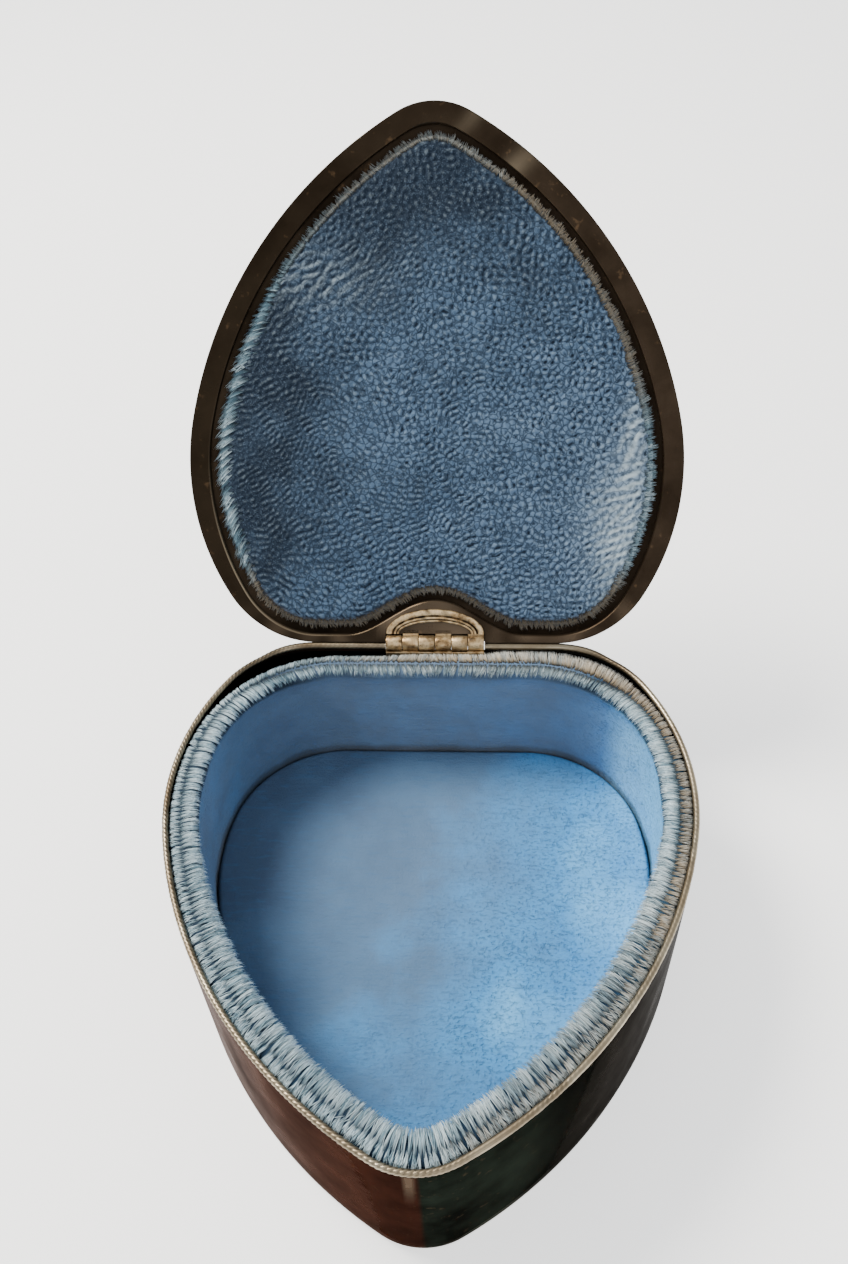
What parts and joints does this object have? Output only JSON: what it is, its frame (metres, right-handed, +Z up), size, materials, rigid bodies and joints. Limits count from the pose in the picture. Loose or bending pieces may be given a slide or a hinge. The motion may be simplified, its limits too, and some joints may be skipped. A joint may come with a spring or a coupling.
{
  "type": "heart-shaped jewelry box",
  "caption": "Heart-shaped metal box with a hinged domed lid, lined with padded velvet, for keeping jewelry.",
  "frame": {"origin": "middle of the flat underside, halfway between the straight back and the tip of the case", "axes": "+Z up; +Y towards the straight back, where the hinge is; -Y towards the tip; +X to the right of someone who opens the box"},
  "size_m": [0.09, 0.1531, 0.1127],
  "materials": {
    "tarnished_silver": "polished silver plate with dark brown and green-black tarnish",
    "rim_silver": "roped wire of silver, worn bright on top",
    "gilt_brass": "cast and drawn brass with dull gilding, dark in the hollows",
    "light_blue_velvet": "light blue short-pile velvet, worn and dusty on its roll",
    "deep_blue_velvet": "deep blue crushed velvet with small pebble-like creases"
  },
  "bodies": {
    "base": {"base_body": "tarnished_silver", "base_rim_wire": "rim_silver", "base_wall_lining": "light_blue_velvet", "base_floor_pad": "light_blue_velvet", "base_hinge_leaf": "gilt_brass", "hinge_pin": "gilt_brass"},
    "lid": {"lid_shell": "tarnished_silver", "lid_pad": "deep_blue_velvet", "lid_hinge_leaf": "gilt_brass"}
  },
  "joints": [
    {"name": "lid_hinge", "type": "hinge", "parent": "base", "child": "lid", "pos_m": [0, 0.0475, 0.0352], "axis": [1, 0, 0], "range_deg": [0, 125]}
  ]
}
